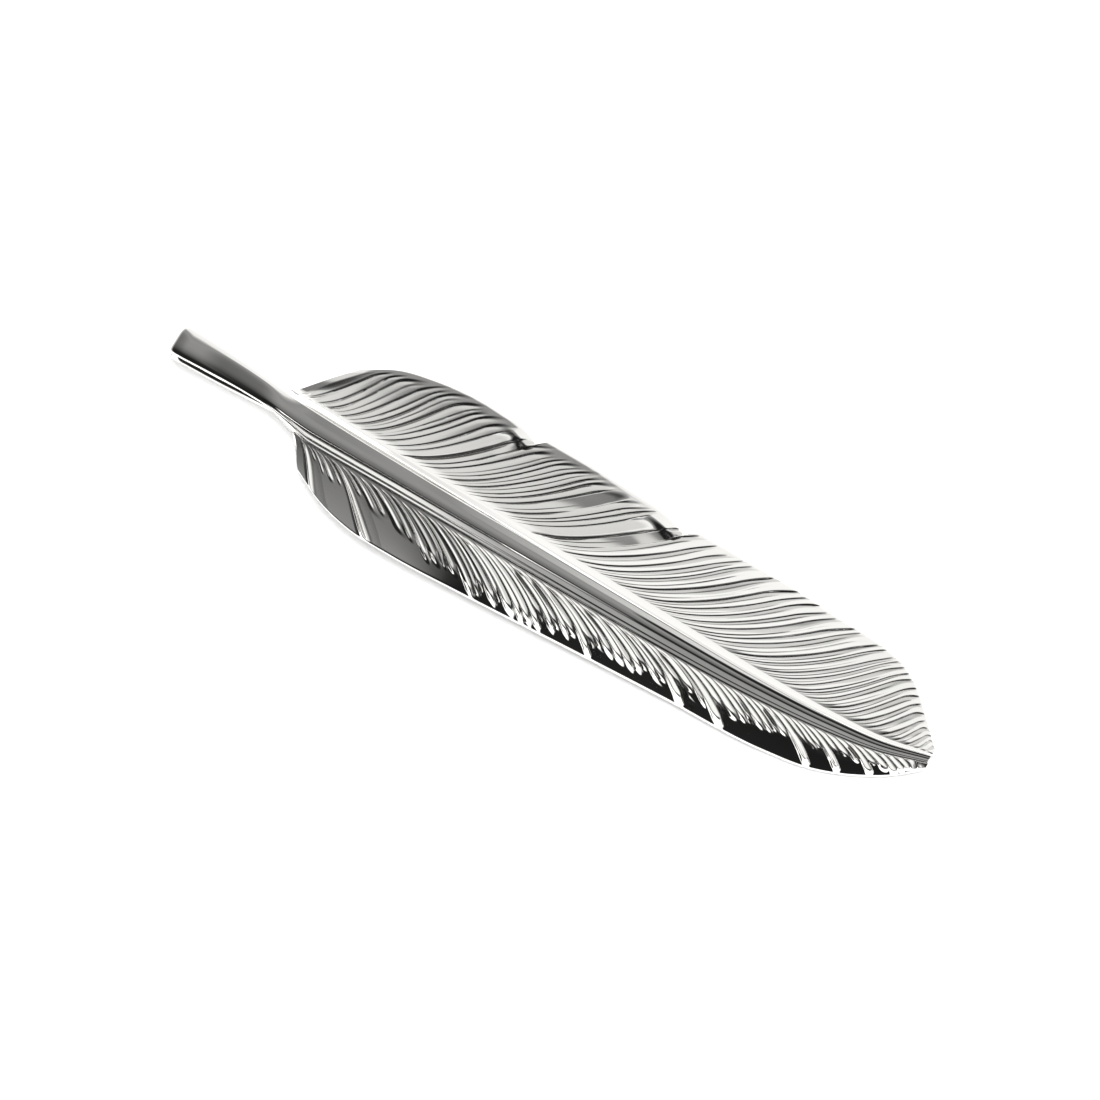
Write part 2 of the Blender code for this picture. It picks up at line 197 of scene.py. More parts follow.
# Heights of lobes and fine barbs for each mm of their width, and the usual width of a fine barb in mm
LOBE_DEPTH = {"far": 0.12, "near": 0.2}
FINE_DEPTH = {"far": 0.13, "near": 0.24}
FINE_WIDTH = {"far": 0.72, "near": 0.95}
# How far the far barbs hook back at the edge, and how far every barb wanders sideways, in mm along the shaft
HOOK = 0.9
WANDER = 0.1
BARB_SEED = 11

# Mesh of a vane: columns along the feather, rows from the shaft to TOP_END, the rim's rounding as (share,
# drop in mm below the rim's top), and the shares where its back has rows
VANE_COLUMNS = 1120
TOP_ROWS = {"far": 72, "near": 60}
TOP_END = 0.975
RIM_ROUND = ((0.985, 0.015), (0.993, 0.06), (0.998, 0.14), (0.9995, 0.26), (0.9995, 0.4), (0.996, 0.5),
             (0.985, 0.57))
BACK_SHARES = (0.94, 0.7, 0.45, 0.2, 0.0)

# The shaft's face, in shares of SHAFT_RISE: points across it, how far its far edge lies below its crest, and
# the step that divides it beyond mid length, with the step's place and half width in mm
FACE_POINTS = 21
FACE_CROWN = ((-28, -0.03), (-18, -0.01), (-8, 0.04), (0, 0.06), (39, 0.06))
STEP_DROP = 0.2
STEP_BEGINS = (9, 15)
STEP_PLACE = ((10, -0.05), (16, 0.0), (24, 0.05), (32, 0.1), (39, 0.04))
STEP_HALF = ((10, 0.05), (16, 0.07), (24, 0.13), (32, 0.12), (39, 0.06))
# The fillet on the shaft's far side, as shares of its width from the vane to the face
FILLET_SHARES = (1.0, 0.88, 0.76, 0.64, 0.52, 0.4, 0.3, 0.2, 0.12, 0.05, 0.0)
# The two beads on the shaft's near side, as (share of the foot's width, height from the vane's 0 to the
# face's 1). The points close to each corner keep the shading crisp
NEAR_BEADS = ((0.02, 0.93), (0.08, 0.62), (0.1, 0.58), (0.13, 0.575), (0.17, 0.58), (0.5, 0.63),
              (0.53, 0.635), (0.56, 0.61), (0.6, 0.4), (0.62, 0.37), (0.65, 0.365), (0.69, 0.37),
              (0.83, 0.395), (0.86, 0.4), (0.89, 0.37), (0.93, 0.06), (0.96, 0.0), (1.0, 0.0))
# The shaft's underside, as (share of its reach from far to near and back, mm below the foot)
UNDERSIDE = ((-1, 1.05), (-0.5, 1.22), (0, 1.3), (0.5, 1.28), (1, 1.25))

# Points over the top of a section of shaft or quill, two of them outside fillet and beads, and all round
SECTION_TOP = len(FILLET_SHARES) + FACE_POINTS + len(NEAR_BEADS) + 2
SECTION_POINTS = SECTION_TOP + len(UNDERSIDE)

# The quill's top and width, the return strip's underside and width, as (x, mm), and where the quill turns
# into the carved shaft
QUILL_TOP = ((BAIL_STRAIGHT_END, 3.985), (-34, 3.985), (-31, 3.94), (-28.5, 3.84), (-26, 3.72), (-22, 3.6))
QUILL_WIDTH = ((-39.5, QUILL_END_WIDTH), (-37.75, QUILL_END_WIDTH), (-34, 2.6), (-31, 2.35), (-28.5, 2.15),
               (-22, 1.8))
RETURN_UNDERSIDE = ((BAIL_STRAIGHT_END, 0.0), (-36.4, 0.0), (-35, 0.0), (-33.3, 0.12), (-31, 0.55),
                    (-28.5, 1.15), (RETURN_END, 1.9))
RETURN_WIDTHS = ((BAIL_STRAIGHT_END, RETURN_WIDTH), (-36.4, 2.45), (-35, 2.4), (-33.3, 2.3), (-31, 2.1),
                 (-28.5, 1.8), (RETURN_END, 1.3))
QUILL_TO_SHAFT = (-29.5, -23.5)
# The hollow in the quill's top: its depth in mm, where it lies, and the crest that it slopes down from
HOLLOW_DEPTH = 0.13
HOLLOW_RUN = (-36.8, -27.4)
HOLLOW_CREST = 0.7

# Sections along the return strip, round the bend, and along the quill and shaft
RETURN_STEPS = 28
BEND_STEPS = 30
SHAFT_STEPS = 620

# The studio: the direction that its brightness runs along, that brightness from -1 in front to 1 at the back,
# and the white near the horizon
STUDIO_AXIS = (0.2, 0.98, 0.0)
STUDIO = ((-1.0, 0.02), (-0.4, 0.012), (-0.22, 0.03), (-0.06, 0.1), (0.08, 0.2), (0.18, 0.31), (0.24, 0.26),
          (0.32, 0.5), (0.4, 0.95), (1.0, 1.1))
HORIZON_WHITE = 0.85
# The soft lights: name, turn in degrees and strength. SUN_SPREAD is their width in degrees
SUNS = (("soft_key", (14, 0, 150), 2.6), ("soft_fill", (16, 0, -40), 1.8))
SUN_SPREAD = 60

# The camera: compass direction and height in degrees, lens and sensor in mm, pixels for each mm of feather,
# and the picture's side in pixels
CAMERA_AZIMUTH = 30.2
CAMERA_HEIGHT = 76.0
CAMERA_LENS = 150.0
CAMERA_SENSOR = 36.0
PIXELS_PER_MM = 11.0
IMAGE_SIDE = 1100


def through(points, x):
    """A smooth line through given points, read at x, as a thin batten would lie."""
    xs, ys = np.array(points, float).T
    slopes = np.gradient(ys, xs)
    x = np.clip(x, xs[0], xs[-1])
    i = np.clip(np.searchsorted(xs, x) - 1, 0, len(xs) - 2)
    span = xs[i + 1] - xs[i]
    t = (x - xs[i]) / span
    start = (1 + 2 * t) * (1 - t) ** 2 * ys[i] + t * (1 - t) ** 2 * span * slopes[i]
    end = t * t * (3 - 2 * t) * ys[i + 1] + t * t * (t - 1) * span * slopes[i + 1]
    return start + end


def ramp(value, low, high):
    """0 below low, 1 above high, and smooth between."""
    t = np.clip((value - low) / (high - low), 0, 1)
    return t * t * (3 - 2 * t)


def between(value, low, high, soft):
    """1 between low and high, and 0 outside them, with soft edges."""
    return ramp(value, low, low + soft) * (1 - ramp(value, high - soft, high))


def place(points):
    """Points in the design's mm, set in the frame in metres."""
    shift = (PART_LOW.x / MM - BEND_OUTSIDE, PART_HIGH.y / MM - WIDEST_FAR, PART_LOW.z / MM - BAIL_UNDERSIDE)
    return (np.asarray(points, float) + shift) * MM


def linear(hex_colour):
    """An sRGB hex colour as linear red, green and blue."""
    channels = [int(hex_colour[i:i + 2], 16) / 255 for i in (0, 2, 4)]
    return tuple(c / 12.92 if c <= 0.04045 else ((c + 0.055) / 1.055) ** 2.4 for c in channels)


def foot_width(side, x):
    """How far out from the edge of the shaft's face the vane begins."""
    return through(FOOT_WIDTH, x) * (1 if side == "far" else through(NEAR_FOOT_SHARE, x))


def foot_line(side, x):
    """Where the vane meets the shaft's foot, in mm across the feather."""
    return through(SHAFT_LINE, x) + SIGN[side] * (through(FACE_WIDTH, x) / 2 + foot_width(side, x))


def barb_point(side, root_x, v):
    """The plan point at share v of the barb that leaves the shaft at root_x."""
    edge_x = root_x + through(REACH[side], root_x)
    edge_y = through(EDGE_LINE[side], edge_x)
    if side == "near":
        root_x = root_x + through(NEAR_START, root_x)
    root_y = foot_line(side, root_x)
    leaving, arriving = math.radians(LEAVING[side]), math.radians(ARRIVING[side])
    leaving = arriving + (leaving - arriving) * ramp(root_x, VANE_START, VANE_START + FAN)
    span = np.hypot(edge_x - root_x, edge_y - root_y)
    x1 = root_x + LEAVING_PULL * span * np.cos(leaving)
    y1 = root_y + SIGN[side] * LEAVING_PULL * span * np.sin(leaving)
    x2 = edge_x - ARRIVING_PULL * span * np.cos(arriving)
    y2 = edge_y - SIGN[side] * ARRIVING_PULL * span * np.sin(arriving)
    a, b, c, d = (1 - v) ** 3, 3 * v * (1 - v) ** 2, 3 * v * v * (1 - v), v ** 3
    return a * root_x + b * x1 + c * x2 + d * edge_x, a * root_y + b * y1 + c * y2 + d * edge_y


def share_across(side, x, y):
    """0 at the shaft's foot and 1 at the vane's edge, straight across the feather."""
    foot = foot_line(side, x)
    width = through(EDGE_LINE[side], x) - foot
    return np.clip((y - foot) / np.where(np.abs(width) < 0.1, SIGN[side] * 0.1, width), 0, 1)


def vane_height(side, x, y):
    """Top of a vane without its barbs. The far one sweeps down to a level rim, the near one domes down."""
    across = share_across(side, x, y)
    if side == "far":
        rim, rise = RIM_THICKNESS[side], through(VANE_RISE, x)
        return through(LIFT, x) + rim + (rise - rim) * (1 - across) ** through(FAR_FALL, x)
    rim, rise = through(NEAR_RIM, x), through(NEAR_RISE, x)
    domed = ramp(x, *NEAR_DOMED)
    fallen = (1 - domed) * (1 - (1 - across) ** 1.8) + domed * across ** through(NEAR_FALL, x)
    return through(LIFT, x) + rise + (rim - rise) * fallen


def spread(side, root_x, v):
    """How far apart barbs lie there, square to them, for each mm between them along the shaft."""
    step = 0.02
    x0, y0 = barb_point(side, root_x - step, v)
    x1, y1 = barb_point(side, root_x + step, v)
    ahead_x, ahead_y = barb_point(side, root_x, np.clip(v + step, 0, 1))
    behind_x, behind_y = barb_point(side, root_x, np.clip(v - step, 0, 1))
    along_x, along_y = ahead_x - behind_x, ahead_y - behind_y
    crossed = np.abs((x1 - x0) * along_y - (y1 - y0) * along_x)
    return crossed / np.maximum(np.hypot(along_x, along_y), 1e-6) / (2 * step)


def fine_marks(side):
    """Where the fine barbs part along the shaft: each lobe is shared out unevenly, petals not at all."""
    rng = np.random.default_rng(BARB_SEED + len(side))
    marks = []
    petals = [start for start, end in PETALS] if side == "far" else []
    for low, high in zip(GAPS[side], GAPS[side][1:]):
        count = 1 if low in petals else max(1, round((high - low) / FINE_WIDTH[side]))
        widths = rng.uniform(0.6, 1.4, count)
        marks += list(low + (high - low) * np.cumsum(np.r_[0, widths[:-1]]) / widths.sum())
    return np.array(marks + [GAPS[side][-1]])


def strand_of(marks, q):
    """Index, share across and width of the strand that q falls in, between marks along the shaft."""
    i = np.clip(np.searchsorted(marks, q, side="right") - 1, 0, len(marks) - 2)
    width = marks[i + 1] - marks[i]
    return i, np.clip((q - marks[i]) / width, 0, 1), width


def ends_of(side, marks):
    """The share of the barb's length at which each strand sinks into the vane."""
    rng = np.random.default_rng(BARB_SEED * 2 + len(side))
    middle = (marks[:-1] + marks[1:]) / 2
    ends = through(ENDS[side], middle) + ENDS_WANDER[side] * rng.uniform(-1, 1, len(middle))
    if side == "far":
        if len(marks) > len(GAPS[side]):
            ends -= 0.3 * rng.uniform(0, 1, len(middle)) * ramp(middle, -3, 1)
        for start, end in PETALS:
            ends[np.searchsorted(marks, start)] = end
        return ends
    for start in BOLD:
        width = GAPS[side][GAPS[side].index(start) + 1] - start
        ends[(middle > start) & (middle < start + BOLD_WIDTH * width)] = PAST_RIM
    return ends


def strength(side, marks, i, v):
    """How strongly each strand stands up, which wanders along it."""
    rng = np.random.default_rng(BARB_SEED * 3 + len(side) + len(marks))
    phase = rng.uniform(0, 2 * math.pi, len(marks))
    pace = rng.uniform(2, 7, len(marks))
    weight = rng.uniform(0.6, 1.15, len(marks))
    return weight[i] * (0.85 + 0.3 * np.sin(phase[i] + pace[i] * v))


def third_section(root_x):
    """0 on the far vane's two sections towards the bail, and 1 on the third."""
    return ramp(root_x, SPLITS[1] - 0.2, SPLITS[1] + 0.2)


def lobe_shape(side, root_x, v, i, t):
    """Height share of lobe i at t across it. In the far vane's first two sections the gaps are cut into the
    vane, and in the third the lobes stand on it."""
    if side == "near":
        return through(LOBE, t) * (0.15 + 0.85 * ramp(root_x, *NEAR_FULL))
    widened = t ** (1 + 0.7 * between(v, 0.45, 0.95, 0.2))
    third = third_section(root_x)
    dip = 0.22 * between(v, 0.3, 1.0, 0.3) * np.clip(0.5 + 0.7 * np.sin(2.4 * i + 4 * v), 0, 1)
    standing = through(LOBE, widened) - dip * through(DIP, t)
    shape = (through(PLATEAU, t) - 1) * (1 - third) + standing * third
    for start, end in PETALS:
        shape = np.where(i == GAPS["far"].index(start), through(PETAL, t), shape)
    return shape


def fine_shape(side, root_x, t):
    """Height share of the fine barb at t across it."""
    if side == "near":
        base = 1 - ramp(root_x, *NEAR_FULL)
        return through(NEEDLE, t) * base + through(NEAR_FINE, t) * (1 - base)
    third = third_section(root_x)
    return (through(CRISP, t) - 1) * (1 - third) + through(FINE, t) * third


def with_recesses(shape, q, v, sinks):
    """The far vane's height share smoothed away in its recesses. With sinks at 1 the recesses are also sunk
    into it, and slope down towards the tip."""
    for start, low, high in RECESSES:
        n = GAPS["far"].index(start)
        first, last = GAPS["far"][n:n + 2]
        tipward = np.clip((q - first) / (last - first), 0, 1)
        along = ramp(v, low, low + 0.25) * (1 - ramp(v, high - 0.04, high))
        inside = along * between(tipward, 0, 1, 0.06)
        shape = shape * (1 - inside) - sinks * inside * (0.3 + 1.9 * tipward)
    return shape


def relief(side, root_x, v, across):
    """Height in mm of lobes and fine barbs over the plain vane, and each point's depth in a gap, 0 to 1."""
    hook = HOOK * np.clip((v - 0.8) / 0.2, 0, 1) ** 2 if side == "far" else 0.0
    q = root_x - hook + WANDER * v * np.sin(2.1 * root_x + 5 * v)
    room = spread(side, root_x, v)
    lobes, fines = np.array(GAPS[side], float), fine_marks(side)
    grown = ramp(across, 0.02, 0.14)
    height = 0.0
    gap = 0.0
    for marks, depth in ((lobes, LOBE_DEPTH[side]), (fines, FINE_DEPTH[side])):
        i, t, width = strand_of(marks, q)
        soft = 0.08
        if side == "near":
            t = 1 - t
        elif marks is fines:
            soft = 0.08 + 0.08 * third_section(root_x)
        end = ends_of(side, marks)[i] - 0.05 * (2 * t - 1) ** 2
        sunk = 1 - ramp(v, end - soft, end)
        shape = lobe_shape(side, root_x, v, i, t) if marks is lobes else fine_shape(side, root_x, t)
        if side == "far":
            shape = with_recesses(shape, q, v, 1 if marks is lobes else 0)
        height = height + depth * width * room * shape * strength(side, marks, i, v) * sunk * grown
        gap = np.maximum(gap, (1 - ramp(shape, 0.0, 0.2)) * sunk * grown)
    return height, gap


def barb_layer(x, y):
    """How far the near vane's layer of barbs stands above the vane under it, before the barbs' own relief."""
    across = share_across("near", x, y)
    top = through(LIFT, x) + through(NEAR_RISE, x) - LAYER_DROP * across ** 1.3
    return np.maximum(top - vane_height("near", x, y), 0) * ramp(x, *LAYER_BEGINS)


def layer_left(root_x, v):
    """The share of the near vane's barb layer that is left at v: it ends where the fine barb there ends."""
    marks = fine_marks("near")
    i, t, width = strand_of(marks, root_x)
    end = np.minimum(ends_of("near", marks)[i], 1.0) - 0.06 * (2 * t - 1) ** 2
    return 1 - ramp(v, end - 0.14, end)


def curl(root_x):
    """0 along the plain edge, rising to 1 over the last stretch before a split, where the edge curls in."""
    shares = [np.where(root_x <= split, np.clip(1 - (split - root_x) / length, 0, 1), 0)
              for split, length in zip(SPLITS, CURL_LENGTHS)]
    return np.max(shares, axis=0) ** 1.6


def fold(root_x, v):
    """The curl beside a split, in mm: a band that stands up and slopes outwards, with a hollow inside it."""
    band = ramp(v, 0.88, 0.925) * (1 - 0.85 * ramp(v, 0.915, 1.0))
    hollow = ramp(v, 0.7, 0.86) * (1 - ramp(v, 0.87, 0.92))
    return curl(root_x) * (FOLD_RISE * band - FOLD_HOLLOW * hollow)


def front_strip(x, root_x, v, plain):
    """What levels the strip along the far vane's front edge, in mm over the plain vane."""
    low, high = FRONT_WIDTH
    inside = (1 - ramp(root_x, VANE_START + low, VANE_START + high)) * ramp(v, 0.02, 0.15)
    level = through(LIFT, x) + RIM_THICKNESS["far"] + FRONT_LEVEL
    return (level - plain) * inside * (1 - ramp(v, 0.4, 1.0))


def wall_thickness(side, v):
    """The vane's thickness at share v, from the shaft's extra to the thinned edge."""
    thinned = 1 - (1 - EDGE_WALL) * ramp(v, 0.9, 1.0)
    return RIM_THICKNESS[side] * thinned + SHAFT_EXTRA * (1 - v)


def vane_rows(side):
    """Points and gap depths of a vane, for each column the loop round its section: top, rim and back."""
    top = np.linspace(0, TOP_END, TOP_ROWS[side])
    rim_shares, rim_drops = np.array(RIM_ROUND).T
    back = len(top) + len(rim_shares)
    v = np.r_[top, rim_shares, BACK_SHARES] * np.ones((VANE_COLUMNS + 1, 1))
    drop = np.r_[np.zeros(len(top)), rim_drops, np.zeros(len(BACK_SHARES))]
    root_x = np.linspace(VANE_START, SHAFT_END, VANE_COLUMNS + 1)[:, None] * np.ones_like(v)
    kept = v * (1 - SPLIT_SHARE * curl(root_x)) if side == "far" else v
    x, y = barb_point(side, root_x, kept)
    plain = vane_height(side, x, y)
    height, gap = relief(side, root_x, kept, share_across(side, x, y))
    from_base = ramp(root_x, VANE_START + 0.2, VANE_START + 1.5)
    from_tip = 1 - 0.5 * ramp(root_x, SHAFT_END - 6, SHAFT_END - 0.5)
    height = height * from_base * from_tip
    if side == "far":
        height = height + fold(root_x, v) + front_strip(x, root_x, v, plain)
    else:
        height = height + barb_layer(x, y) * layer_left(root_x, v)
    z = plain + height - drop
    z[:, back:] = plain[:, back:] - wall_thickness(side, v[:, back:])
    return np.stack([x, y, z], axis=-1), gap


def face_height(x, half, a):
    """Height of the shaft's face at share a of its half width: a low crown, with a step beyond mid length."""
    place_at, half_width = through(STEP_PLACE, x), through(STEP_HALF, x)
    crown = 1.0 - through(FACE_CROWN, x) * max(a - 0.1, 0) / 0.9 - 0.08 * max(-a - 0.25, 0) ** 2
    nearward = 1 - ramp(half * a, place_at - half_width, place_at + half_width)
    return crown - STEP_DROP * ramp(x, *STEP_BEGINS) * nearward


def far_fillet(x, half, rise, spread_out):
    """The fillet from the far vane up to the shaft's face, as (across, height)."""
    line = through(SHAFT_LINE, x)
    fillet = []
    for share in FILLET_SHARES:
        across = half + share * spread_out
        up = rise * 0.95 * (1 - share) ** 2.2 - 0.03 * share
        fillet.append((across, vane_height("far", x, line + across) + up))
    return fillet


def near_beads(x, half, foot, rise):
    """The two beads between the shaft's face and the near vane, as (across, height)."""
    near_top = (through(LIFT, x) + through(NEAR_RISE, x) + 0.03 - foot) / rise
    near_edge = face_height(x, half, -1.0)
    reach = foot_width("near", x)
    return [(-half - a * reach, foot + rise * (near_top + (near_edge - near_top) * up))
            for a, up in NEAR_BEADS]


def shaft_section(x):
    """The section of the shaft at x, far to near over the top and back under, as (across, height)."""
    half = through(FACE_WIDTH, x) / 2
    rise = through(SHAFT_RISE, x)
    foot = through(LIFT, x) + through(VANE_RISE, x)
    spread_out = through(FOOT_WIDTH, x) / 0.5
    face = [(half * a, foot + rise * face_height(x, half, a)) for a in np.linspace(0.97, -0.97, FACE_POINTS)]
    reach = half + 0.75 * spread_out
    ring = [(half + 1.05 * spread_out, foot - 0.3)]
    ring += far_fillet(x, half, rise, spread_out) + face + near_beads(x, half, foot, rise)
    ring += [(-half - 1.07 * foot_width("near", x), foot - 0.5)]
    ring += [(reach * share, foot - down) for share, down in UNDERSIDE]
    return ring


def strip_section(width, thickness):
    """A rounded flat section of the quill, as (across, up), in the same order and count as the shaft's."""
    top = [math.pi * i / (SECTION_TOP - 1) for i in range(SECTION_TOP)]
    low_count = SECTION_POINTS - SECTION_TOP
    low = [math.pi + math.pi * (i + 1) / (low_count + 1) for i in range(low_count)]
    ring = []
    for angle in top + low:
        across = math.copysign(abs(math.cos(angle)) ** 0.55, math.cos(angle)) * width / 2
        up = math.copysign(abs(math.sin(angle)) ** 0.5, math.sin(angle)) * thickness / 2
        ring.append((across, up))
    return ring


def strip_ring(x, z, direction, width, thickness):
    """One section of the bail's strip at (x, z), square to its path's direction in X and Z."""
    y = through(SHAFT_LINE, x)
    return [(x - direction[1] * up, y + across, z + direction[0] * up)
            for across, up in strip_section(width, thickness)]


def return_rings():
    """The strip that runs back under the quill, from its end to the bend."""
    rings = []
    for x in np.linspace(RETURN_END, BAIL_STRAIGHT_END, RETURN_STEPS):
        z = BAIL_LOW + through(RETURN_UNDERSIDE, x) + RETURN_THICKNESS / 2
        rings.append(strip_ring(x, z, (-1.0, 0.0), through(RETURN_WIDTHS, x), RETURN_THICKNESS))
    return rings


def bend_rings():
    """The bail's half-round bend, from the return strip up to the quill."""
    radius = (BAIL_DEPTH - STRIP_THICKNESS / 2 - RETURN_THICKNESS / 2) / 2
    middle = BAIL_LOW + BAIL_DEPTH - STRIP_THICKNESS / 2 - radius
    rings = []
    for step in range(1, BEND_STEPS):
        share = step / BEND_STEPS
        angle = math.pi * share
        x = BAIL_STRAIGHT_END - radius * math.sin(angle)
        z = middle - radius * math.cos(angle)
        width = RETURN_WIDTH + (QUILL_END_WIDTH - RETURN_WIDTH) * (1 - (1 - share) ** 2)
        thickness = RETURN_THICKNESS + (STRIP_THICKNESS - RETURN_THICKNESS) * share
        rings.append(strip_ring(x, z, (-math.cos(angle), math.sin(angle)), width, thickness))
    return rings


def quill_hollow(x, across, up):
    """How far the quill's top is hollowed there: behind the bail its near side slopes down from a crest."""
    slope = np.clip((HOLLOW_CREST - across) / 1.5, 0, 1)
    return HOLLOW_DEPTH * slope * between(x, *HOLLOW_RUN, 3.0) * ramp(up, 0, 0.2)


def quill_section(x):
    """The section of the hollowed quill at x, as (across, height)."""
    middle = through(QUILL_TOP, x) - STRIP_THICKNESS / 2
    return [(across, middle + up - quill_hollow(x, across, up))
            for across, up in strip_section(through(QUILL_WIDTH, x), STRIP_THICKNESS)]


def shaft_rings():
    """The quill from the bend onwards, which turns into the carved shaft and runs to the tip."""
    rings = []
    for x in np.linspace(BAIL_STRAIGHT_END, SHAFT_END, SHAFT_STEPS):
        y = through(SHAFT_LINE, x)
        carved = ramp(x, *QUILL_TO_SHAFT)
        rings.append([(x, y + a0 + (a1 - a0) * carved, z0 + (z1 - z0) * carved)
                      for (a0, z0), (a1, z1) in zip(quill_section(x), shaft_section(x))])
    return rings


def deselect_all():
    bpy.ops.object.select_all(action="DESELECT")


def rolled(name, points, gap):
    """A grid sheet rolled into a closed body: points[column, place round its section] and gap depths."""
    deselect_all()
    columns, around = points.shape[:2]
    bpy.ops.mesh.primitive_grid_add(x_subdivisions=columns - 1, y_subdivisions=around, size=1)
    made = bpy.context.object
    made.name = made.data.name = name
    flat = np.empty(len(made.data.vertices) * 3, np.float32)
    made.data.vertices.foreach_get("co", flat)
    flat = flat.reshape(-1, 3)
    column = np.rint((flat[:, 0] + 0.5) * (columns - 1)).astype(int)
    row = np.rint((flat[:, 1] + 0.5) * around).astype(int) % around
    made.data.vertices.foreach_set("co", place(points[column, row]).astype(np.float32).ravel())
    depth = made.data.attributes.new("gap", "FLOAT", "POINT")
    depth.data.foreach_set("value", gap[column, row].astype(np.float32))
    made.data.update()
    close_body(made, row == 0)
    return made


def close_body(made, seam):
    """Joins the rolled sheet along its seam, closes its two ends and turns all its faces outwards."""
    bpy.ops.object.mode_set(mode="EDIT")
    bpy.ops.mesh.select_mode(type="VERT")
    bpy.ops.mesh.select_all(action="DESELECT")
    bpy.ops.object.mode_set(mode="OBJECT")
    made.data.vertices.foreach_set("select", seam)
    bpy.ops.object.mode_set(mode="EDIT")
    bpy.ops.mesh.remove_doubles(threshold=1e-6)
    bpy.ops.mesh.select_all(action="SELECT")
    bpy.ops.mesh.fill_holes(sides=0)
    bpy.ops.mesh.select_all(action="SELECT")
    bpy.ops.mesh.normals_make_consistent(inside=False)
    bpy.ops.object.mode_set(mode="OBJECT")
    bpy.ops.object.shade_smooth()


class Nodes:
    """A material's or world's node tree, emptied, with one way to add a node and its links."""

    def __init__(self, owner):
        owner.use_nodes = True
        self.tree = owner.node_tree
        self.tree.nodes.clear()

    def add(self, kind, links=None, **settings):
        node = self.tree.nodes.new(kind)
        for name, value in settings.items():
            setattr(node, name, value)
        for socket, value in (links or {}).items():
            if isinstance(value, bpy.types.NodeSocket):
                self.tree.links.new(value, node.inputs[socket])
            else:
                node.inputs[socket].default_value = value
        return node


def ramp_stops(node, stops):
    """Sets a colour ramp's stops, as (place, grey or hex colour)."""
    elements = node.color_ramp.elements
    while len(elements) > 1:
        elements.remove(elements[-1])
    for n, (at, colour) in enumerate(stops):
        stop = elements[0] if n == 0 else elements.new(at)
        stop.position = at
        rgb = linear(colour) if isinstance(colour, str) else (colour,) * 3
        stop.color = (*rgb, 1)


def polished_cast_silver(settings):
    """Sterling silver, lost-wax cast and tumble polished: a near-mirror grey white. The buff reaches the
    crests and leaves the bottoms of the gaps duller, and their colour is darkened there as painted shade. Its
    lines are about 0.1 mm apart."""
    material = bpy.data.materials.new("polished_cast_silver")
    nodes = Nodes(material)
    place_in = nodes.add("ShaderNodeTexCoord").outputs["Object"]
    gap = nodes.add("ShaderNodeAttribute", attribute_name="gap").outputs["Fac"]
    # Painted shade: the colour darkens from the crests' silver to a greyer tone in the bottoms of the gaps
    colour = nodes.add("ShaderNodeValToRGB", {"Fac": gap})
    ramp_stops(colour, ((0.0, settings.silver_hex), (0.45, settings.silver_hex), (1.0, settings.painted_gap_shade_hex)))
    clouds = nodes.add("ShaderNodeTexNoise", {"Vector": place_in, "Scale": 1 / (2.5 * MM), "Detail": 3.0})
    rough = nodes.add("ShaderNodeMapRange", {
        "Value": clouds.outputs["Fac"], "From Min": 0.3, "From Max": 0.7, "To Min": 0.05, "To Max": 0.11})
    duller = nodes.add("ShaderNodeMath", {0: gap, 1: 0.12, 2: rough.outputs["Result"]},
                       operation="MULTIPLY_ADD")
    drawn = nodes.add("ShaderNodeMapping", {"Vector": place_in, "Scale": (0.12, 1.0, 1.0)})
    lines = nodes.add("ShaderNodeTexNoise", {
        "Vector": drawn.outputs["Vector"], "Scale": 1 / (0.1 * MM), "Detail": 2.0})
    bump = nodes.add("ShaderNodeBump", {
        "Height": lines.outputs["Fac"], "Strength": 0.05, "Distance": 0.02 * MM})
    shader = nodes.add("ShaderNodeBsdfPrincipled", {
        "Base Color": colour.outputs["Color"], "Metallic": 1.0, "Roughness": duller.outputs["Value"],
        "Normal": bump.outputs["Normal"]})
    nodes.add("ShaderNodeOutputMaterial", {"Surface": shader.outputs["BSDF"]})
    return material


def pale_floor(settings):
    """A matt sheet of even pale board."""
    material = bpy.data.materials.new("matt_board")
    nodes = Nodes(material)
    shader = nodes.add("ShaderNodeBsdfPrincipled", {
        "Base Color": (*linear(settings.floor_hex), 1), "Roughness": 0.9})
    nodes.add("ShaderNodeOutputMaterial", {"Surface": shader.outputs["BSDF"]})
    return material


def silver():
    """The one silver finish, made once and shared by every piece."""
    found = bpy.data.materials.get("polished_cast_silver")
    return found or polished_cast_silver(bpy.context.scene.feather)


def finish_piece(piece):
    """Gives a piece its finish and its place in the frame's table."""
    piece.data.materials.clear()
    piece.data.materials.append(silver())
    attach(piece, "root")
    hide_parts("feather_pendant")


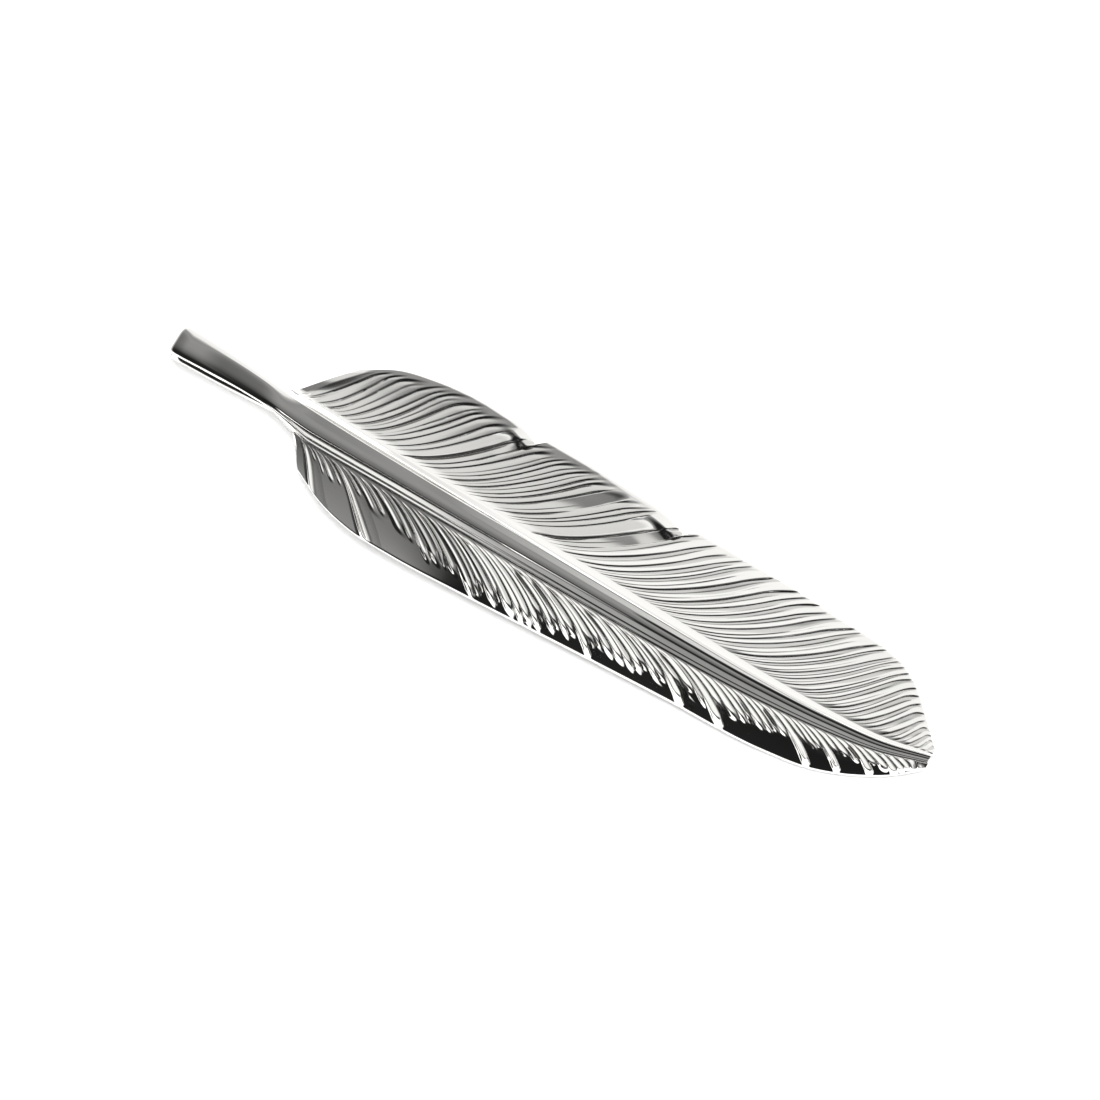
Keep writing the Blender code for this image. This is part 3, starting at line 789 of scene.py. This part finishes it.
def make_world():
    """A soft studio all round: white behind and low down, grey overhead, and dark behind the camera."""
    world = bpy.data.worlds.new("studio")
    bpy.context.scene.world = world
    nodes = Nodes(world)
    toward = nodes.add("ShaderNodeTexCoord").outputs["Generated"]
    back_share = nodes.add("ShaderNodeVectorMath", {0: toward, 1: STUDIO_AXIS}, operation="DOT_PRODUCT")
    unit = nodes.add("ShaderNodeMapRange", {
        "Value": back_share.outputs["Value"], "From Min": -1.0, "From Max": 1.0})
    dome = nodes.add("ShaderNodeValToRGB", {"Fac": unit.outputs["Result"]})
    ramp_stops(dome, [((s + 1) / 2, grey) for s, grey in STUDIO])
    height = nodes.add("ShaderNodeSeparateXYZ", {"Vector": toward}).outputs["Z"]
    low = nodes.add("ShaderNodeMapRange", {
        "Value": height, "From Min": 0.02, "From Max": 0.3, "To Min": 1.0, "To Max": 0.0},
        interpolation_type="SMOOTHSTEP")
    mixed = nodes.add("ShaderNodeMix", data_type="RGBA")
    nodes.tree.links.new(low.outputs["Result"], mixed.inputs["Factor"])
    nodes.tree.links.new(dome.outputs["Color"], mixed.inputs["A"])
    mixed.inputs["B"].default_value = (HORIZON_WHITE, HORIZON_WHITE, HORIZON_WHITE, 1)
    background = nodes.add("ShaderNodeBackground", {"Color": mixed.outputs["Result"], "Strength": 1.0})
    nodes.add("ShaderNodeOutputWorld", {"Surface": background.outputs["Background"]})


def make_camera():
    """The long-lens camera, aimed at the design's origin."""
    azimuth, height = math.radians(CAMERA_AZIMUTH), math.radians(CAMERA_HEIGHT)
    level = math.cos(height)
    back = Vector((math.sin(azimuth) * level, -math.cos(azimuth) * level, math.sin(height)))
    right = Vector((math.cos(azimuth), math.sin(azimuth), 0))
    distance = CAMERA_LENS / CAMERA_SENSOR * IMAGE_SIDE / PIXELS_PER_MM * MM
    deselect_all()
    bpy.ops.object.camera_add()
    camera = bpy.context.object
    camera.name = "photo_camera"
    camera.data.lens = CAMERA_LENS
    camera.data.sensor_width = CAMERA_SENSOR
    camera.data.clip_start = 0.01
    turned = Matrix((right, back.cross(right), back)).transposed().to_4x4()
    turned.translation = Vector(place((0, 0, 0))) + back * distance
    camera.matrix_world = turned
    bpy.context.scene.camera = camera


def make_floor(settings):
    deselect_all()
    bpy.ops.mesh.primitive_plane_add(size=settings.floor_size)
    floor = bpy.context.object
    floor.name = floor.data.name = "floor"
    floor.data.materials.append(pale_floor(settings))


def make_lights(settings):
    """Broad suns through a diffuser, for the floor and its faint shadow. They make no highlights."""
    for name, turn, power in SUNS:
        deselect_all()
        bpy.ops.object.light_add(type="SUN", rotation=[math.radians(a) for a in turn])
        lamp = bpy.context.object
        lamp.name = name
        lamp.data.energy = power * settings.key_strength
        lamp.data.angle = math.radians(SUN_SPREAD)
        lamp.visible_glossy = False


class FeatherSettings(bpy.types.PropertyGroup):
    """Sizes and colours that a user would change."""

    silver_hex: bpy.props.StringProperty(
        name="Silver", description="Colour of the silver's crests", default="F6F5F2")
    # The colour in the bottoms of the gaps is painted shade, darker than the silver's crests
    painted_gap_shade_hex: bpy.props.StringProperty(
        name="Gaps", description="Colour in the bottoms of the gaps", default="D8D7D4")
    floor_hex: bpy.props.StringProperty(
        name="Floor", description="Colour of the floor", default="FAFAFA")
    floor_size: bpy.props.FloatProperty(
        name="Floor size", description="Side of the square floor", default=3.0, unit="LENGTH")
    key_strength: bpy.props.FloatProperty(
        name="Light", description="Strength of the soft lights", default=1.1, min=0.0)


class FEATHER_OT_far_vane(bpy.types.Operator):
    """Models the wide vane with its two splits"""

    bl_idname = "feather.far_vane"
    bl_label = "Far vane"

    def execute(self, context):
        finish_piece(rolled("far_vane", *vane_rows("far")))
        return {"FINISHED"}


class FEATHER_OT_near_vane(bpy.types.Operator):
    """Models the narrow vane with its fingered barbs"""

    bl_idname = "feather.near_vane"
    bl_label = "Near vane"

    def execute(self, context):
        finish_piece(rolled("near_vane", *vane_rows("near")))
        return {"FINISHED"}


class FEATHER_OT_shaft(bpy.types.Operator):
    """Models the shaft, the quill and the bail that it bends into"""

    bl_idname = "feather.shaft"
    bl_label = "Shaft and bail"

    def execute(self, context):
        rings = np.array(return_rings() + bend_rings() + shaft_rings(), float)
        finish_piece(rolled("shaft_and_bail", rings, np.zeros(rings.shape[:2])))
        return {"FINISHED"}


class FEATHER_OT_stage(bpy.types.Operator):
    """Sets the floor, the studio light and the camera"""

    bl_idname = "feather.stage"
    bl_label = "Stage"

    def execute(self, context):
        settings = context.scene.feather
        make_world()
        make_floor(settings)
        make_lights(settings)
        make_camera()
        bpy.context.scene.view_settings.view_transform = "Standard"
        return {"FINISHED"}


class FEATHER_PT_panel(bpy.types.Panel):
    bl_label = "Silver feather pendant"
    bl_space_type = "VIEW_3D"
    bl_region_type = "UI"
    bl_category = "Feather"

    def draw(self, context):
        for name in FeatherSettings.__annotations__:
            self.layout.prop(context.scene.feather, name)
        for operator in OPERATORS:
            self.layout.operator(operator.bl_idname)


OPERATORS = (FEATHER_OT_far_vane, FEATHER_OT_near_vane, FEATHER_OT_shaft, FEATHER_OT_stage)
CLASSES = (FeatherSettings, *OPERATORS, FEATHER_PT_panel)


def register():
    for made in CLASSES:
        bpy.utils.register_class(made)
    bpy.types.Scene.feather = bpy.props.PointerProperty(type=FeatherSettings)


def unregister():
    del bpy.types.Scene.feather
    for made in reversed(CLASSES):
        bpy.utils.unregister_class(made)


def main():
    register()
    bpy.ops.feather.far_vane()
    bpy.ops.feather.near_vane()
    bpy.ops.feather.shaft()
    bpy.ops.feather.stage()


if __name__ == "__main__":
    main()
